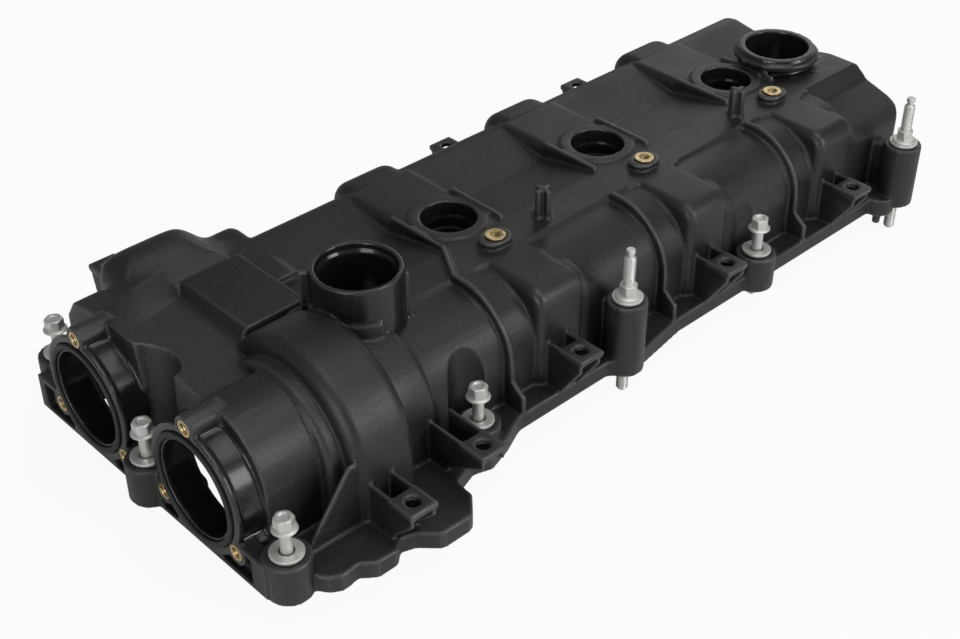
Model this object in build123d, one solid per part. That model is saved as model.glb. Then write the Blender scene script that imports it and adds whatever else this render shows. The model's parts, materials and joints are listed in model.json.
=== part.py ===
from build123d import *
import math
import os

# An engine valve cover for one bank of a six cylinder engine, with its seals, inserts, bolts and studs.
# Millimetres, +Z up. All sizes are taken from the first plug well's axis and the gasket plane, and the
# finished part is then moved so that the origin is at the middle of its base, level with the stud tips.
# +X runs along the cam shafts to the back, and -Y is the near side, which carries the two studs.

# Driving sizes of the casing
BORE_PITCH = 106.0  # from one cylinder to the next
WELL_COUNT = 3
WALL = 3.0
BELOW = 12.0  # how far the forms run on below the gasket plane before they are trimmed
AXIS_Z = 30.5  # height of both cam axes
NEAR_Y = -46.4
FAR_Y = 36.0
TUNNEL_R = 28.5
DECK_Z = 60.7
SHROUD_X = -172.0  # front of the body, behind the port faces
BACK_X = 286.0
TROUGH_X = -92.0  # where the long deck begins, behind the raised panel

# Deck profile across the engine
STRIP_NEAR_Y = -39.0
STRIP_FAR_Y = -20.0
VALLEY_Y = 18.0
VALLEY_Z = 53.5
RIDGE_Y = 50.0
RIDGE_Z = 59.0
FAR_WALL_Y = 60.5
FAR_WALL_Z = 57.0
FAR_EDGE_R = 8.0

# Platforms round the plug wells and their bulges
PLATFORM_FRONT = 22.0  # ahead of the well axis
PLATFORM_BACK = 20.0
FAR_BULGE_Y = 71.0
FAR_BULGE_Z = 59.5
FAR_BULGE_R = 12.0
FAR_BULGE_HALF = 19.0
FAR_BULGE_SOFT_R = 8.0
NEAR_BULGE_Y = -78.0
NEAR_BULGE_R = 9.0
NEAR_BULGE_HALF = 15.0
SIDE_PANEL_Y = -76.2
SIDE_PANEL_X = 23.0
SIDE_PANEL_DROP = 4.0
BULGE_SOFT_R = 4.5
SMALL_BULGE_X = (-100.9, -75.9)
SMALL_BULGE_Y = 78.0
SMALL_BULGE_Z = 58.8

# Domes over the cam phasers at the front
DOME_R = 47.0
DOME_X = (-136.0, -103.0)
DOME_EDGE_R = 7.0
BARREL_R = 34.0
BARREL_X = (-105.0, -80.0)
BARREL_EDGE_R = 5.0
RING_R = 38.0
RING_X = -144.0
RING_EDGE_R = 3.5
NOSE_Y = (-78.0, -36.0)
NOSE_Z = 66.5
NOSE_CORNER_R = (31.0, 6.0)
FAR_DOME_X = (-151.0, -94.0)
FAR_DOME_Y = 81.0
FAR_DOME_Z = 71.3
FAR_DOME_R = 14.0
FAR_DOME_TOP_Y = 63.0
FAR_DOME_TOP_R = 8.0
FAR_DOME_FOOT = (46.0, 61.0)
FAR_DOME_FRONT_R = 16.0
FAR_DOME_FALL = (-109.0, 57.0)  # where its top begins to slope down to the back, and the foot of that slope
FAR_DOME_FALL_R = 10.0
FAR_DOME_PLAN_R = 9.0

# Roof between the domes: its corners in Y and Z at the port wall, at the panel's foot and behind the panel
ROOF_X = (SHROUD_X, -129.0, TROUGH_X)
ROOF_CORNERS = (
    ((-45.0, 66.5), (-17.0, 67.0), (18.0, 67.3), (41.0, 67.0), (61.0, 63.0), (68.0, 53.0)),
    ((-45.0, 58.5), (-22.0, 56.0), (41.5, 56.0), (53.0, 65.7), (60.0, 64.0), (67.5, 57.0)),
    ((-45.0, 58.5), (-22.0, 56.0), (43.0, 56.0), (60.0, 60.5), (64.5, 59.5), (67.0, 55.0)),
)
PANEL_X = (-124.5, -92.0)
PANEL_Y = (-5.0, 46.0)
PANEL_Z = 60.4
PANEL_FOOT = 4.5  # how far the panel's front face runs out at its foot

# Round pocket between the ports, which leans and widens upwards: x, y and radius at its foot and its rim
POCKET_FOOT = (-181.0, -5.0, 11.5)
POCKET_RIM = (-176.3, -3.6, 15.8)
POCKET_RIM_Z = 70.0

# Back end, where the near roof drops and slopes away
BACK_DROP_X = 236.0
BACK_DROP_Y = (-44.5, -37.5)
BACK_DROP_Z = 52.5
BACK_NEAR_Z = 43.0
BACK_ROOF_R = 12.0
BACK_FOLD_R = 4.5
BACK_NEAR_CORNER_R = 16.0
BACK_FAR_CORNER_R = 10.0
BACK_TOP_R = 5.0

# Flange and gasket
FLANGE_T = 9.0
FLANGE_NEAR_Y = -87.5
FLANGE_FAR_Y = 80.0
FLANGE_BACK_X = 294.0
GROOVE_W = 4.0
GROOVE_D = 3.0
GASKET_GAP = 0.1
GASKET_PROUD = 1.0
SEAL_NEAR_Y = -72.5
SEAL_FAR_Y = 67.0
SEAL_BACK_X = 281.0
SEAL_FRONT_X = -177.0
SEAL_MIDDLE_X = -170.0  # where it passes behind the middle bolt
SEAL_MIDDLE_Y = (-22.0, 11.0)
SEAL_DOME_Y = -94.0
SEAL_DOME_X = (-141.0, -98.0)
SEAL_STEP_X = (-152.0, -86.0)  # where the band turns out towards the near dome, and back from it
SEAL_NOSE_Y = -80.0
SEAL_FAR_DOME_Y = 86.0
SEAL_FAR_DOME_X = (-156.0, -99.0)
SEAL_FAR_FRONT_Y = 65.0
SEAL_CORNER_R = 6.0
LIP = 3.0  # flange left inside the groove
CAVITY_MARGIN = GROOVE_W / 2 + LIP
REACH = 600.0  # longer than the whole part, for trimming shapes

# Outer edge of the flange round the near front bolt, the near dome and the first two clips
FLANGE_FRONT_X = -180.0
FLANGE_LOBES = (
    ((-170.0, -100.0), 2.0),
    ((-165.0, -107.0), 2.0),
    ((-160.0, -110.0), 3.0),
    ((-151.0, -109.0), 3.0),
    ((-145.0, -114.0), 3.0),
    ((-134.0, -114.0), 3.0),
    ((-129.0, -109.5), 3.0),
    ((-122.0, -112.0), 3.0),
    ((-114.0, -120.0), 4.0),
    ((-97.0, -120.0), 5.0),
    ((-88.0, -110.0), 4.0),
    ((-87.5, -100.0), 3.0),
    ((-73.0, -95.0), 4.0),
    ((-64.0, -98.0), 4.0),
    ((-51.0, -94.0), 5.0),
    ((-37.0, FLANGE_NEAR_Y), 8.0),
    ((23.0, FLANGE_NEAR_Y), 3.0),
    ((31.0, -94.0), 3.0),
    ((42.0, -93.0), 3.0),
    ((76.0, FLANGE_NEAR_Y), 5.0),
)
FLANGE_BACK_R = (16.0, 12.0)
FLANGE_FAR_X = (-86.0, -98.0, -152.0, -168.0)  # where the far edge steps out round the far dome and back
FLANGE_FAR_R = 5.0
FLANGE_SEAL_EDGE = 7.0  # from the seal's middle to the flange's edge there

# Front ports
PORT_FACE_X = -186.0
PORT_SEAL_IN_R = 24.0
PORT_SEAL_W = 2.9
PORT_SEAL_D = 3.0
PORT_SEAL_PROUD = 1.1
PORT_SEAL_SOFT_R = 0.8
PORT_BORE_R = PORT_SEAL_IN_R - 1.2
PORT_FLANGE_R = PORT_SEAL_IN_R + PORT_SEAL_W + 3.9
PORT_FLANGE_T = 2.0
PORT_TUBE_R = PORT_FLANGE_R - 1.0
PORT_RELIEF_X = -171.0  # where the bore opens out behind the wall
PORT_RELIEF_R = PORT_BORE_R + 2.5
PORT_INSERT_R = 4.1
PORT_LUG_R = 6.2
PORT_LUG_REACH = PORT_SEAL_IN_R + PORT_SEAL_W + 0.6 + PORT_INSERT_R
PORT_LUG_ANGLES = (87.4, -35.0, -145.6)
TOP_LUG_BACK_X = -168.0
LOW_LUG_BACK_X = -166.0
FRONT_WALL_BACK_X = -178.0
FRONT_WALL_Z = 18.5
FRONT_WALL_Y = (-92.4, 82.0)
FRONT_POCKET_D = 5.0
FRONT_POCKET_Z = (2.0, 15.6)
FRONT_POCKETS = ((-83.0, -57.0), (-29.5, -17.5), (8.5, 20.0), (54.0, 77.0))  # Y spans in the front wall

# Brass inserts
INSERT_R = 4.6
INSERT_HOLE_R = 2.55
INSERT_L = 9.0
INSERT_RUNOUT = 2.0  # how far each insert hole runs on below its insert
INSERT_COLLAR_R = 5.1
INSERT_COLLAR_T = 0.8
FIT = 0.04

# Coil bolt pads
COIL_PAD_DX = 1.6
COIL_PAD_Y = -31.0
COIL_PAD_Z = 64.6
COIL_PAD_R = 6.6
COIL_PAD_HALF = 2.4
COIL_PAD_PLATE_T = 1.6

# Spark plug wells
WELL_R = 14.0
WELL_WALL = 2.8
WELL_BOTTOM = 26.0
WELL_STEP_R = 13.2
WELL_STEP_D = 7.0
WELL_DISC_R = 19.5
WELL_DISC_T = 1.2
WELL_SEAL_Z = 40.0
WELL_SEAL_T = 8.0
WELL_SEAL_IN_R = 11.8
WELL_RING_T = 2.0
WELL_RING_IN_R = 12.3

# Filler neck
NECK = (-84.0, -33.0)
NECK_R = 20.7
NECK_BORE_R = 18.4
NECK_Z = 88.0
NECK_LIP_D = 4.0
NECK_LIP_R = 17.2
NECK_FOOT_Z = 46.0
NECK_TAB_ANGLE = 137
NECK_RIB_ANGLE = -38
NECK_RIB_COUNT = 18
NECK_COLLAR_R = 22.4
NECK_COLLAR_Z = 71.0

# Oil cap port
CAP = (253.0, -3.2)
CAP_FLANGE_R = 24.2
CAP_TUBE_R = 20.4
CAP_TOP_R = 21.6
CAP_BORE_R = 17.8
CAP_Z = 70.0
CAP_FLANGE_Z = (64.2, 67.6)
CAP_FOOT_Z = 46.0
CAP_LUG_R = 2.0

# Posts, ribs and clip brackets
POST_X = (35.0, 184.0)
POST_Y = -29.5
POST_SPAN = 9.2
POST_T = 2.6
POST_Z = 76.5
EDGE_RIB_T = 2.4
EDGE_RIB_Z = 62.8
EDGE_RIB_HALF = 18.5
BLADE_X = -33.5
BLADE_T = 2.6
BLADE_R = 33.0
BLADE_FOOT_Z = 18.0
CLIP_PLATE = 15.0
CLIP_T = 3.2
CLIP_HOLE_R = 3.4
CLIP_ARM_T = 1.8
CLIPS = (
    (-124.5, -113.5, 30.0, -92.0),
    (-79.0, -107.5, 30.0, -79.0),
    (-3.0, -93.0, 33.0, -76.5),
    (103.0, -93.0, 33.0, -76.5),
    (209.0, -93.0, 33.0, -76.5),
)
FAR_CLIPS = ((-134.6, 92.7, 51.0, 77.0), (78.0, 85.7, 36.0, 59.0), (183.0, 85.7, 36.0, 59.0))
GUSSET_X = (-165.0, -139.0)
GUSSET_Y = (-91.0, -88.8)
GUSSET_Z = 42.0

# Captive bolts: x, y and the height of the boss
BOLTS = {
    "front_near": (-175.0, -93.5, 20.0),
    "front_middle": (-183.0, -5.5, 20.5),
    "front_far": (-171.0, 86.0, 20.5),
    "side_front": (-58.0, -82.0, 15.5),
    "side_back": (138.5, -85.0, 19.5),
    "far_front": (42.0, 81.5, 14.0),
    "far_back": (267.0, 82.0, 14.0),
}
BOLT_BOSS_R = 10.5
BOLT_R = 3.0
BOLT_SHANK_R = 2.7
BOLT_L = 40.0
BOLT_THREAD_L = 5.4
BOLT_POINT = 0.8  # chamfer at the tip
BOLT_LIFT = 12.0  # how far the bolts stand up in their sleeves as shown
BOLT_FLANGE_R = 5.7
BOLT_FLANGE_T = 1.3
HEX_ACROSS = 8.0
HEX_H = 5.2
BOLT_DISH_R = 2.6
BOLT_DISH_D = 0.7
SLEEVE_R = 5.0
SLEEVE_BORE_R = 3.4
SLEEVE_RISE = 0.5  # the sleeve's foot above the boss's foot
WASHER_R = 7.5
WASHER_T = 1.5
GROMMET_R = 7.0
GROMMET_RISE = 0.4
BOLT_CLEARANCE_R = 13.5
WASHER_CLEARANCE = 0.6

# Studs: x, y and the foot of the boss
STUDS = {"front": (35.5, -86.5, 0.0), "back": (257.0, -91.5, 4.0)}
STUD_BOSS_R = 10.0
STUD_BOSS_Z = 40.0
STUD_WEB_HALF = 4.0
LOBE = (247.5, -87.5)
LOBE_R = 9.0
LOBE_Z = 10.0
PEG = (243.0, -91.0)
PEG_R = 2.2
PEG_Z = -5.5
STUD_TIP_Z = -14.0
STUD_THREAD_Z = -0.5  # top of the lower thread
STUD_TOP_Z = 68.0
STUD_POINT_L = 3.0
STUD_POINT_R = 2.2
STUD_FLANGE_R = 6.6
STUD_FLANGE_T = 1.5

# Oil baffle below the deck
BAFFLE_Z = 44.0
BAFFLE_T = 2.0
BAFFLE_X = (-52.0, 228.0)
BAFFLE_Y = (-24.0, 24.0)
BAFFLE_HOLE_R = 18.0
BAFFLE_POST_R = 3.6
BAFFLE_SCREW_R = 1.5
BAFFLE_POST_DX = 36.0
BAFFLE_POST_Y = (-17.0, 17.0)
BAFFLE_POST_Z = (58.5, 52.5)  # the post tops, within the roof above each row

WELL_X = [i * BORE_PITCH for i in range(WELL_COUNT)]


def box(x0, x1, y0, y1, z0, z1):
    """A plain box between two corners."""
    return Pos(x0, y0, z0) * Box(x1 - x0, y1 - y0, z1 - z0, align=(Align.MIN, Align.MIN, Align.MIN))


def rod(x, y, z0, z1, radius):
    """An upright cylinder."""
    return Pos(x, y, z0) * Cylinder(radius, z1 - z0, align=(Align.CENTER, Align.CENTER, Align.MIN))


def rod_x(y, z, x0, x1, radius):
    """A cylinder lying along X."""
    along = Pos(x0, y, z) * Rot(0, 90, 0)
    return along * Cylinder(radius, x1 - x0, align=(Align.CENTER, Align.CENTER, Align.MIN))


def tube(x, y, z0, z1, outer, inner):
    """An upright ring."""
    return rod(x, y, z0, z1, outer) - rod(x, y, z0 - 1, z1 + 1, inner)


def outline(points, radii=None):
    """A closed flat shape with the given corner radii."""
    if radii is None:
        return make_face(Polyline(*points, close=True))
    return make_face(FilletPolyline(*points, radius=radii, close=True))


def along_x(face, x0, x1):
    """A section drawn in Y and Z, carried from x0 to x1."""
    return extrude(Plane.YZ.offset(x0) * face, amount=x1 - x0)


def along_y(face, y0, y1):
    """A section drawn in X and Z, carried from y0 to y1."""
    return extrude(Plane.XZ.offset(-y1) * face, amount=y1 - y0)


def soften_ends(body, x0, x1, radius, above):
    """Round the rims of a form at both of its ends, but not where it meets the gasket plane."""
    rims = [
        e
        for e in body.edges()
        if e.center().Z > above and (abs(e.center().X - x0) < 0.01 or abs(e.center().X - x1) < 0.01)
    ]
    return fillet(rims, radius)


def tunnel(y, radius, x0, x1, edge_r, inset):
    """A half round roof on straight walls, with soft rims."""
    r = radius - inset
    corners = ((y - r, -BELOW), (y - r, AXIS_Z + r), (y + r, AXIS_Z + r), (y + r, -BELOW))
    section = outline(corners, [0, r * 0.999, r * 0.999, 0])
    form = along_x(section, x0 + inset, x1 - inset)
    if edge_r - inset < 0.5:
        return form
    return soften_ends(form, x0 + inset, x1 - inset, edge_r - inset, 0)


def section_form(corners, radii, x0, x1, edge_r, inset):
    """A wall and roof section carried along X, shrunk by the wall where it is the inside."""
    face = outline(corners, radii)
    if inset:
        face = offset(face, -inset, kind=Kind.ARC)
    form = along_x(face, x0 + inset, x1 - inset)
    if edge_r - inset < 0.5:
        return form
    return soften_ends(form, x0 + inset, x1 - inset, edge_r - inset, 0)


def deck_profile():
    """The roof corners from the flat strip across the valley to the foot of the far wall."""
    return (
        (STRIP_NEAR_Y, DECK_Z),
        (STRIP_FAR_Y, DECK_Z),
        (VALLEY_Y, VALLEY_Z),
        (RIDGE_Y, RIDGE_Z),
        (FAR_WALL_Y, FAR_WALL_Z),
        (FAR_WALL_Y, -BELOW),
    )


DECK_RADII = [0, 0, 6.0, 6.0, FAR_EDGE_R, 0]


def deck_form(inset):
    """The long casing: the near tunnel, the flat strip, the valley and the far wall."""
    near = NEAR_Y - TUNNEL_R
    roof = AXIS_Z + TUNNEL_R
    corners = ((near, -BELOW), (near, roof), (STRIP_NEAR_Y - 2.0, roof)) + deck_profile()
    radii = [0, TUNNEL_R * 0.98, 0] + DECK_RADII
    form = section_form(corners, radii, BARREL_X[0], BACK_X, BACK_TOP_R, inset)
    return (form - back_drop(inset)) & deck_plan(inset)


def back_drop(inset):
    """What is cut from the near tunnel at the back, where its roof is lower."""
    near = NEAR_Y - TUNNEL_R
    corners = (
        (near, -BELOW),
        (near, BACK_NEAR_Z),
        (BACK_DROP_Y[0], BACK_DROP_Z),
        (BACK_DROP_Y[1], DECK_Z),
        (STRIP_FAR_Y, DECK_Z),
        (STRIP_FAR_Y, -BELOW),
    )
    kept = outline(corners, [0, BACK_ROOF_R, BACK_FOLD_R, BACK_FOLD_R, 0, 0])
    if inset:
        kept = offset(kept, -inset, kind=Kind.ARC)
    corners = ((near - 10, 0), (near - 10, 2 * DECK_Z), (BACK_DROP_Y[1], 2 * DECK_Z), (BACK_DROP_Y[1], 0))
    return along_x(outline(corners) - kept, BACK_DROP_X - inset, REACH)


def deck_plan(inset):
    """The long casing seen from above, with the upright corners at the back rounded."""
    near = NEAR_Y - TUNNEL_R
    corners = ((-REACH, near), (BACK_X, near), (BACK_X, FAR_WALL_Y), (-REACH, FAR_WALL_Y))
    plan = outline(corners, [0, BACK_NEAR_CORNER_R, BACK_FAR_CORNER_R, 0])
    if inset:
        plan = offset(plan, -inset, kind=Kind.ARC)
    return extrude(Plane.XY.offset(-REACH / 2) * plan, amount=REACH)


def platform_form(x, inset):
    """The level platform round one plug well, and the bulge on its far side."""
    corners = ((-41.0, -BELOW), (-41.0, DECK_Z), (RIDGE_Y + 3, DECK_Z), (RIDGE_Y + 3, -BELOW))
    platform = section_form(
        corners, [0, 0, BULGE_SOFT_R, 0], x - PLATFORM_FRONT, x + PLATFORM_BACK, BULGE_SOFT_R, inset
    )
    corners = ((20.0, -BELOW), (20.0, FAR_BULGE_Z), (FAR_BULGE_Y, FAR_BULGE_Z), (FAR_BULGE_Y, -BELOW))
    bulge = section_form(
        corners, [0, 0, FAR_BULGE_R, 0], x - FAR_BULGE_HALF, x + FAR_BULGE_HALF, FAR_BULGE_SOFT_R, inset
    )
    return [platform, bulge]


def near_bulge_form(x, inset):
    """The box shaped bulge outboard of one coil bolt, and the lower panel beside it."""
    corners = ((NEAR_BULGE_Y, -BELOW), (NEAR_BULGE_Y, DECK_Z), (-30.0, DECK_Z), (-30.0, -BELOW))
    bulge = section_form(
        corners, [0, NEAR_BULGE_R, 0, 0], x - NEAR_BULGE_HALF, x + NEAR_BULGE_HALF, BULGE_SOFT_R, inset
    )
    panel_z = DECK_Z - SIDE_PANEL_DROP
    corners = ((SIDE_PANEL_Y, -BELOW), (SIDE_PANEL_Y, panel_z), (-35.0, panel_z), (-35.0, -BELOW))
    panel = section_form(corners, [0, NEAR_BULGE_R + 4, 0, 0], x, x + SIDE_PANEL_X, BULGE_SOFT_R, inset)
    return [bulge, panel]


def front_forms(inset):
    """The two domes, the stepped nose, the sloping roof between them and the raised panel."""
    forms = [
        tunnel(NEAR_Y, DOME_R, *DOME_X, DOME_EDGE_R, inset),
        tunnel(NEAR_Y, BARREL_R, *BARREL_X, BARREL_EDGE_R, inset),
        tunnel(NEAR_Y, RING_R, RING_X, DOME_X[1], RING_EDGE_R, inset),
    ]
    outer, inner = NOSE_Y
    nose = ((outer, -BELOW), (outer, NOSE_Z), (inner, NOSE_Z), (inner, -BELOW))
    forms.append(section_form(nose, [0, *NOSE_CORNER_R, 0], SHROUD_X, DOME_X[1], 0, inset))
    return forms + [far_dome_form(inset), front_roof(inset), panel_form(inset)]


def far_dome_form(inset):
    """The far dome, as what its section, its side view and its plan have in common."""
    x0, x1 = FAR_DOME_X
    near, top = FAR_DOME_FOOT[0], FAR_DOME_Z
    fall_x, fall_z = FAR_DOME_FALL
    section = outline(
        ((near, -BELOW), FAR_DOME_FOOT, (FAR_DOME_TOP_Y, top), (FAR_DOME_Y, top), (FAR_DOME_Y, -BELOW)),
        [0, 0, FAR_DOME_TOP_R, FAR_DOME_R, 0],
    )
    side = outline(
        ((x0, -BELOW), (x0, top), (fall_x, top), (x1, fall_z), (x1, -BELOW)),
        [0, FAR_DOME_FRONT_R, FAR_DOME_FALL_R, 0, 0],
    )
    plan = outline(
        ((x0, near), (x0, FAR_DOME_Y), (x1, FAR_DOME_Y), (x1, near)),
        [0, FAR_DOME_PLAN_R, FAR_DOME_PLAN_R, 0],
    )
    if inset:
        section, side, plan = (offset(face, -inset, kind=Kind.ARC) for face in (section, side, plan))
    upright = extrude(Plane.XY.offset(-BELOW) * plan, amount=BELOW + top)
    return along_x(section, x0, x1) & along_y(side, near, FAR_DOME_Y) & upright


def front_roof(inset):
    """The roof that slopes down from the port wall to the panel, with the ridge along its far side."""
    sections = []
    for index, (x, corners) in enumerate(zip(ROOF_X, ROOF_CORNERS)):
        shift = (inset, 0, -inset)[index]
        near = corners[0][0] + inset
        far = corners[-1][0] - inset
        points = [(near, -BELOW), (near, corners[0][1] - inset)]
        points += [(y, z - inset) for y, z in corners[1:-1]]
        points += [(far, corners[-1][1] - inset), (far, -BELOW)]
        sections.append(Plane.YZ.offset(x + shift) * outline(points))
    return loft(sections, ruled=True)


def panel_form(inset):
    """The raised panel between the ridge and the near dome, with its sloping front face."""
    x0, x1 = PANEL_X
    foot = (x0 - PANEL_FOOT, PANEL_Z - PANEL_FOOT)
    face = outline(((foot[0], -BELOW), foot, (x0, PANEL_Z), (x1, PANEL_Z), (x1, -BELOW)))
    if inset:
        face = offset(face, -inset, kind=Kind.ARC)
    return along_y(face, PANEL_Y[0] + inset, PANEL_Y[1] - inset)


def small_bulge_form(inset):
    """The little bulge on the far side, behind the far dome."""
    corners = ((20.0, -BELOW), (20.0, DECK_Z - 4), (SMALL_BULGE_Y, SMALL_BULGE_Z), (SMALL_BULGE_Y, -BELOW))
    return section_form(corners, [0, 0, FAR_BULGE_R, 0], *SMALL_BULGE_X, BULGE_SOFT_R, inset)


def pocket_form(grow):
    """The round backed pocket between the ports, which leaves room for the middle bolt."""
    rings = []
    for (x, y, radius), z in ((POCKET_FOOT, FLANGE_T - grow), (POCKET_RIM, POCKET_RIM_Z)):
        rings.append(Pos(x, y, z) * Circle(radius + grow))
    return loft(rings, ruled=True)


def bolt_grooves(grow):
    """Upright round grooves in the near wall, which leave room for the two side bolts."""
    grooves = []
    for name in ("side_front", "side_back"):
        x, y, _ = BOLTS[name]
        grooves.append(rod(x, y, FLANGE_T - grow, DECK_Z + 40, BOLT_CLEARANCE_R + grow))
    return grooves


def casing(inset):
    """All the casing forms together, outside for no inset and inside for one wall."""
    forms = [deck_form(inset), small_bulge_form(inset)]
    forms += front_forms(inset)
    for x in WELL_X:
        forms += platform_form(x, inset)
        forms += near_bulge_form(x, inset)
    body = forms[0].fuse(*forms[1:])
    return body - [pocket_form(inset), *bolt_grooves(inset)]


def flange_plan():
    """The outline of the flange, with its lobes on the near side."""
    far = SEAL_FAR_DOME_Y + FLANGE_SEAL_EDGE
    near_wall, far_wall = FRONT_WALL_Y
    points = [(FLANGE_FRONT_X, near_wall)]
    points += [point for point, _ in FLANGE_LOBES]
    points += [(FLANGE_BACK_X, FLANGE_NEAR_Y), (FLANGE_BACK_X, FLANGE_FAR_Y)]
    points += list(zip(FLANGE_FAR_X, (FLANGE_FAR_Y, far, far, far_wall)))
    points.append((FLANGE_FRONT_X, far_wall))
    radii = [0] + [radius for _, radius in FLANGE_LOBES]
    radii += [*FLANGE_BACK_R, *([FLANGE_FAR_R] * len(FLANGE_FAR_X)), 0]
    return outline(points, radii)


def seal_points():
    """The corners of the gasket's path, clockwise from the front."""
    y0, y1 = SEAL_MIDDLE_Y
    step = SEAL_MIDDLE_X - SEAL_FRONT_X
    return (
        (SEAL_FRONT_X, SEAL_FAR_FRONT_Y),
        (SEAL_FAR_DOME_X[0], SEAL_FAR_DOME_Y),
        (SEAL_FAR_DOME_X[1], SEAL_FAR_DOME_Y),
        (SEAL_STEP_X[1], SEAL_FAR_Y),
        (SEAL_BACK_X, SEAL_FAR_Y),
        (SEAL_BACK_X, SEAL_NEAR_Y),
        (SEAL_STEP_X[1], SEAL_NEAR_Y),
        (SEAL_DOME_X[1], SEAL_DOME_Y),
        (SEAL_DOME_X[0], SEAL_DOME_Y),
        (SEAL_STEP_X[0], SEAL_NOSE_Y),
        (SEAL_FRONT_X, SEAL_NOSE_Y),
        (SEAL_FRONT_X, y0 - step),
        (SEAL_MIDDLE_X, y0),
        (SEAL_MIDDLE_X, y1),
        (SEAL_FRONT_X, y1 + step),
    )


def seal_band(width, z0, z1):
    """A band of the given width that follows the gasket's path."""
    path = outline(seal_points(), SEAL_CORNER_R)
    band = offset(path, width / 2) - offset(path, -width / 2)
    return extrude(Plane.XY.offset(z0) * band, amount=z1 - z0)


def flange():
    """The flange plate and the front wall below the ports, with the recesses beside the low lugs."""
    plate = extrude(flange_plan(), amount=FLANGE_T)
    wall = box(PORT_FACE_X, FRONT_WALL_BACK_X, *FRONT_WALL_Y, 0, FRONT_WALL_Z)
    back = PORT_FACE_X + FRONT_POCKET_D
    return [plate, wall - [box(PORT_FACE_X - 1, back, *span, *FRONT_POCKET_Z) for span in FRONT_POCKETS]]


def port_lugs(y):
    """The places of the three screw lugs round one port: the top one, then the two low ones."""
    places = []
    for angle in PORT_LUG_ANGLES:
        turn = math.radians(angle)
        places.append((y + PORT_LUG_REACH * math.cos(turn), AXIS_Z + PORT_LUG_REACH * math.sin(turn)))
    return places


def port(y):
    """One glossy front port: its flange, tube and screw lugs, trimmed level with the gasket plane."""
    pieces = [
        rod_x(y, AXIS_Z, PORT_FACE_X, PORT_FACE_X + PORT_FLANGE_T, PORT_FLANGE_R) - below_seat(),
        rod_x(y, AXIS_Z, PORT_FACE_X, SHROUD_X + WALL, PORT_TUBE_R) - below_seat(),
    ]
    for index, (ly, lz) in enumerate(port_lugs(y)):
        back = TOP_LUG_BACK_X if index == 0 else LOW_LUG_BACK_X
        pieces.append(rod_x(ly, lz, PORT_FACE_X, back, PORT_LUG_R))
    return pieces


def port_cuts(y):
    """The bore, the seal groove and the insert holes of one front port."""
    behind = SHROUD_X + 2 * WALL
    cuts = [
        rod_x(y, AXIS_Z, PORT_FACE_X - 1, behind, PORT_BORE_R),
        rod_x(y, AXIS_Z, PORT_RELIEF_X, behind, PORT_RELIEF_R),
    ]
    ring = rod_x(y, AXIS_Z, PORT_FACE_X - 1, PORT_FACE_X + PORT_SEAL_D, PORT_SEAL_IN_R + PORT_SEAL_W + FIT)
    ring -= rod_x(y, AXIS_Z, PORT_FACE_X - 2, PORT_FACE_X + PORT_SEAL_D + 1, PORT_SEAL_IN_R - FIT)
    cuts.append(ring)
    for ly, lz in port_lugs(y):
        back = PORT_FACE_X + INSERT_L + INSERT_RUNOUT
        cuts.append(rod_x(ly, lz, PORT_FACE_X - 1, back, PORT_INSERT_R + FIT))
    return cuts


def coil_pad(x):
    """The oblong pad that carries one coil bolt insert."""
    px = x + COIL_PAD_DX
    half = COIL_PAD_HALF
    plan = SlotCenterToCenter(2 * half, 2 * COIL_PAD_R)
    stem = SlotCenterToCenter(2 * half, 2 * COIL_PAD_R - 1.6)
    top = extrude(Pos(px, COIL_PAD_Y, COIL_PAD_Z - COIL_PAD_PLATE_T) * plan, amount=COIL_PAD_PLATE_T)
    base = extrude(Pos(px, COIL_PAD_Y, DECK_Z - WALL - 12) * stem, amount=COIL_PAD_Z - DECK_Z + WALL + 11)
    return [top, base]


def well(x):
    """One plug well tube, which hangs from the deck."""
    return [
        rod(x, 0, WELL_BOTTOM, DECK_Z - 0.5, WELL_R + WELL_WALL),
        rod(x, 0, DECK_Z - 1, DECK_Z + WELL_DISC_T, WELL_DISC_R),
    ]


def well_cuts(x):
    """The stepped bore of one plug well."""
    seal_top = WELL_SEAL_Z + WELL_SEAL_T
    return [
        rod(x, 0, DECK_Z - WELL_STEP_D, DECK_Z + 10, WELL_R),
        rod(x, 0, seal_top - 1, DECK_Z - WELL_STEP_D + 1, WELL_STEP_R),
        rod(x, 0, WELL_BOTTOM - 1, seal_top, WELL_R),
    ]


def neck():
    """The filler neck with its collar, side tab and rib."""
    x, y = NECK
    tab = box(NECK_R - 1, NECK_R + 5.0, -1.1, 1.1, NECK_FOOT_Z + 14, NECK_Z - 2.5)
    tab = Pos(x, y, 0) * Rot(0, 0, NECK_TAB_ANGLE) * tab
    rib = box(NECK_R - 1, NECK_R + 1.8, -1.0, 1.0, NECK_FOOT_Z + 4, NECK_Z - 4)
    rib = Pos(x, y, 0) * Rot(0, 0, NECK_RIB_ANGLE) * rib
    collar = rod(x, y, NECK_FOOT_Z + 6, NECK_COLLAR_Z, NECK_COLLAR_R)
    collar &= box(x - 40, x - 4, y - 40, y + 40, 0, 100)
    return [rod(x, y, NECK_FOOT_Z, NECK_Z, NECK_R), tab, rib, collar]


def neck_cuts():
    """The stepped bore of the neck."""
    x, y = NECK
    return [
        rod(x, y, NECK_Z - NECK_LIP_D, NECK_Z + 1, NECK_BORE_R),
        rod(x, y, NECK_FOOT_Z - 20, NECK_Z + 1, NECK_LIP_R),
    ]


def neck_ribs():
    """The ring of small ribs inside the neck."""
    x, y = NECK
    ribs = []
    for i in range(NECK_RIB_COUNT):
        turn = Pos(x, y, 0) * Rot(0, 0, 360.0 * i / NECK_RIB_COUNT)
        ribs.append(turn * box(NECK_LIP_R - 1.3, NECK_LIP_R + 0.6, -0.6, 0.6, NECK_FOOT_Z + 2, NECK_Z - 12))
    return ribs


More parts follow.
